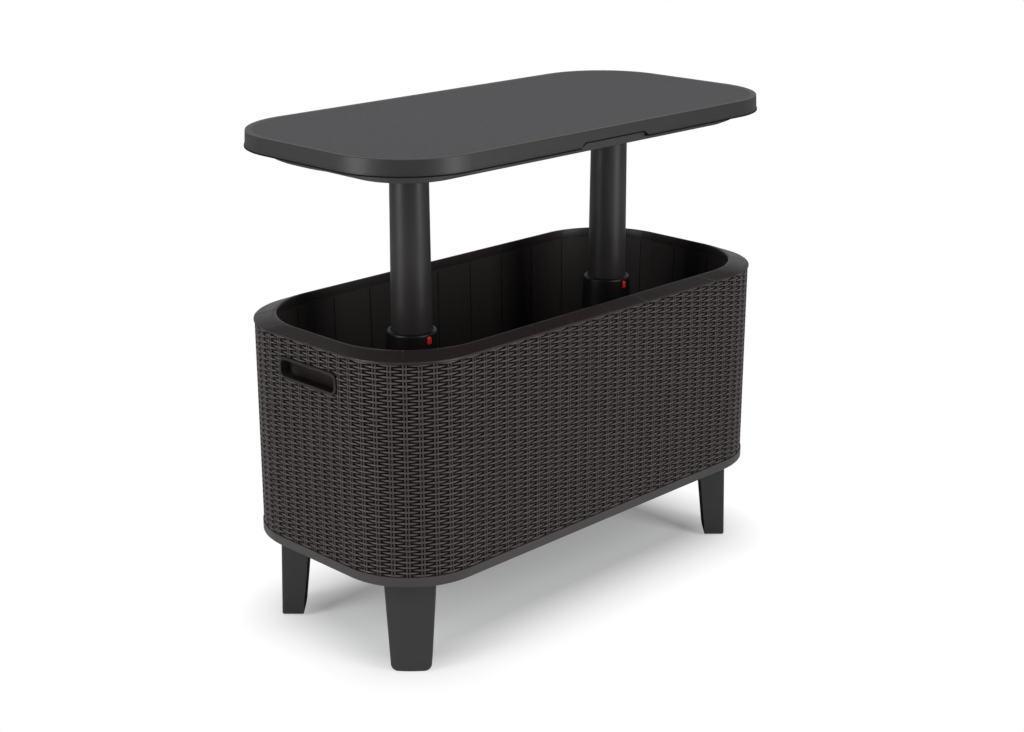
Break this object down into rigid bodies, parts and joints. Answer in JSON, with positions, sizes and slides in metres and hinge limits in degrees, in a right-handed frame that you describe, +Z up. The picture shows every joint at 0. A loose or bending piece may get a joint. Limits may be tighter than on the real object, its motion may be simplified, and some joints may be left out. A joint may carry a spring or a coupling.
{
  "type": "cooler table with lid",
  "caption": "Rounded cooler tub with a woven-look shell on short legs, whose lid lifts on columns to become a table top.",
  "frame": {"origin": "on the floor, under the middle of the tub and table top", "axes": "+X along the long side, +Y towards the rear long side, +Z up; the red latches face -Y"},
  "size_m": [0.8262, 0.4068, 0.7489],
  "materials": {
    "table_plastic": "fine-textured dark graphite grey plastic",
    "underside_plastic": "dark brown-grey plastic, smooth",
    "column_plastic": "smooth satin dark brown-grey tube",
    "bush_plastic": "natural pale acetal",
    "collar_plastic": "black satin plastic",
    "latch_red": "bright red glossy plastic",
    "shell_plastic": "dark graphite brown plastic moulded as a woven rattan pattern",
    "liner_plastic": "dark brown-grey plastic with plank grooves and a smooth rolled rim",
    "base_plastic": "black ribbed plastic",
    "leg_plastic": "dark grey satin plastic",
    "drain_plastic": "black plastic",
    "seal_rubber": "black rubber",
    "screw_steel": "zinc-plated steel",
    "spring_steel": "spring steel"
  },
  "bodies": {
    "tub": {"body_shell": "shell_plastic", "base_panel": "base_plastic", "tub_rim": "liner_plastic", "tub_liner": "liner_plastic", "handle_pocket_left": "shell_plastic", "handle_pocket_right": "shell_plastic", "leg_front_left": "leg_plastic", "leg_front_right": "leg_plastic", "leg_rear_left": "leg_plastic", "leg_rear_right": "leg_plastic", "leg_screws": "screw_steel", "base_screws": "screw_steel", "sleeve_left": "collar_plastic", "sleeve_right": "collar_plastic", "sleeve_screws": "screw_steel", "collar_left": "collar_plastic", "collar_right": "collar_plastic", "collar_screws": "screw_steel", "latch_pin_left": "screw_steel", "latch_pin_right": "screw_steel", "latch_spring_left": "spring_steel", "latch_spring_right": "spring_steel", "drain_bush": "drain_plastic", "drain_seal": "seal_rubber", "drain_nut": "drain_plastic"},
    "table": {"table_top": "table_plastic", "table_seal": "seal_rubber", "table_underside": "underside_plastic", "table_screws": "screw_steel", "column_left": "column_plastic", "column_right": "column_plastic", "column_screws": "screw_steel", "guide_bush_left": "bush_plastic", "guide_bush_right": "bush_plastic"},
    "latch_left": {"latch_lever_left": "latch_red"},
    "latch_right": {"latch_lever_right": "latch_red"},
    "drain_plug": {"drain_plug": "drain_plastic", "plug_seal": "seal_rubber"}
  },
  "joints": [
    {"name": "table_lift", "type": "slide", "parent": "tub", "child": "table", "axis": [0, 0, 1], "range_m": [-0.2385, 0]},
    {"name": "latch_left_press", "type": "hinge", "parent": "tub", "child": "latch_left", "pos_m": [-0.2141, -0.035, 0.433], "axis": [-1, 0, 0], "range_deg": [0, 8], "stiffness_Nm_per_rad": 0.05, "springref_deg": -5.73, "deforming": ["latch_spring_left"]},
    {"name": "latch_right_press", "type": "hinge", "parent": "tub", "child": "latch_right", "pos_m": [0.2141, -0.035, 0.433], "axis": [-1, 0, 0], "range_deg": [0, 8], "stiffness_Nm_per_rad": 0.05, "springref_deg": -5.73, "deforming": ["latch_spring_right"]},
    {"name": "drain_plug_pull", "type": "slide", "parent": "tub", "child": "drain_plug", "axis": [0, 0, -1], "range_m": [0, 0.03]}
  ]
}
